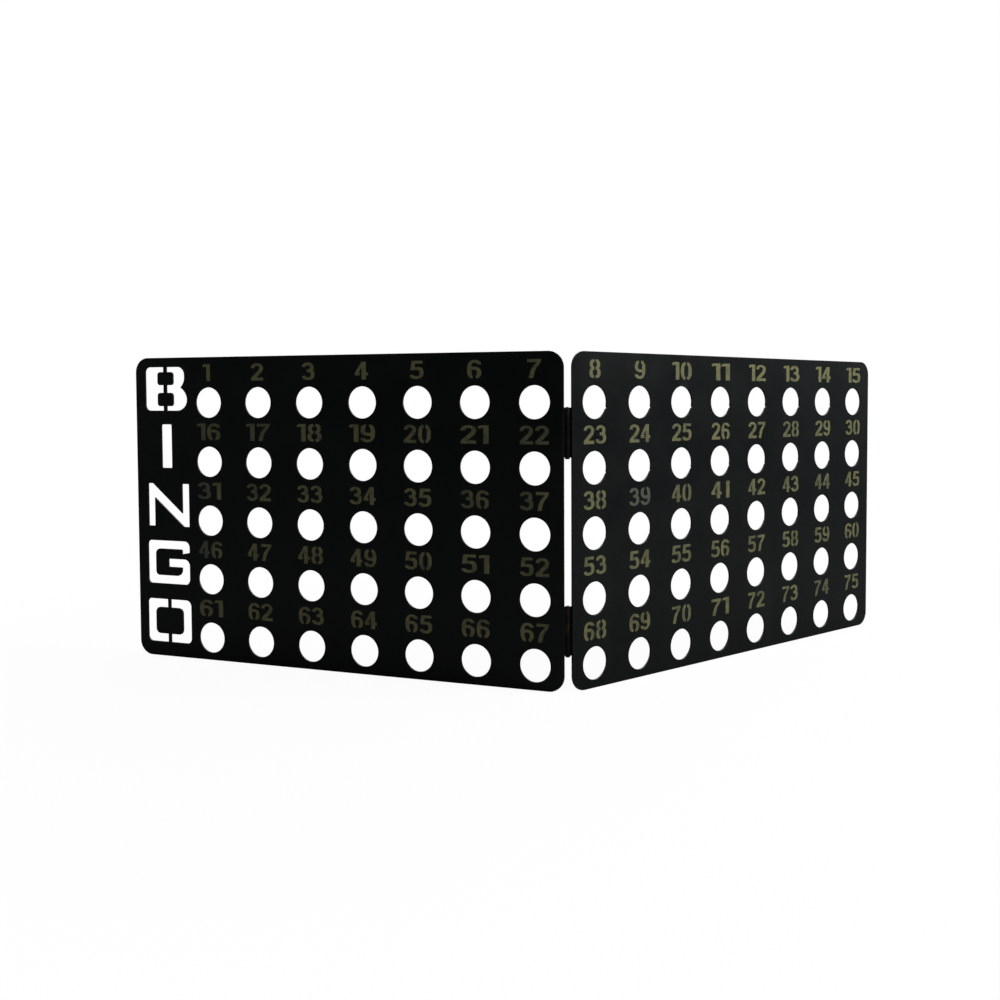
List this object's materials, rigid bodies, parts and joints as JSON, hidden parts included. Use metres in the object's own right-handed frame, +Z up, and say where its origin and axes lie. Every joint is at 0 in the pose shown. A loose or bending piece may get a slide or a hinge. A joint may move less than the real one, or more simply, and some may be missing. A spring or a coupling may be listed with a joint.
{
  "type": "bingo master board",
  "caption": "Folding table-top bingo master board: two hinged perforated metal panels with stencilled numbers that hold the called balls.",
  "frame": {"origin": "on the table, under the centre of the box round the standing board", "axes": "+X to the viewer's right along the open board, +Y away from the viewer, +Z up"},
  "size_m": [0.6908, 0.2208, 0.2616],
  "materials": {
    "panel_paint": "satin",
    "hinge_paint": "satin",
    "pin_metal": "satin"
  },
  "bodies": {
    "left_half": {"left_panel": "panel_paint", "upper_hinge_left_leaf": "hinge_paint", "lower_hinge_left_leaf": "hinge_paint", "upper_hinge_pin": "pin_metal", "lower_hinge_pin": "pin_metal"},
    "right_half": {"right_panel": "panel_paint", "upper_hinge_right_leaf": "hinge_paint", "lower_hinge_right_leaf": "hinge_paint"}
  },
  "joints": [
    {"name": "fold", "type": "hinge", "parent": "left_half", "child": "right_half", "pos_m": [0, -0.10789, 0], "axis": [0, 0, 1], "range_deg": [-100.4, 114.6]}
  ]
}
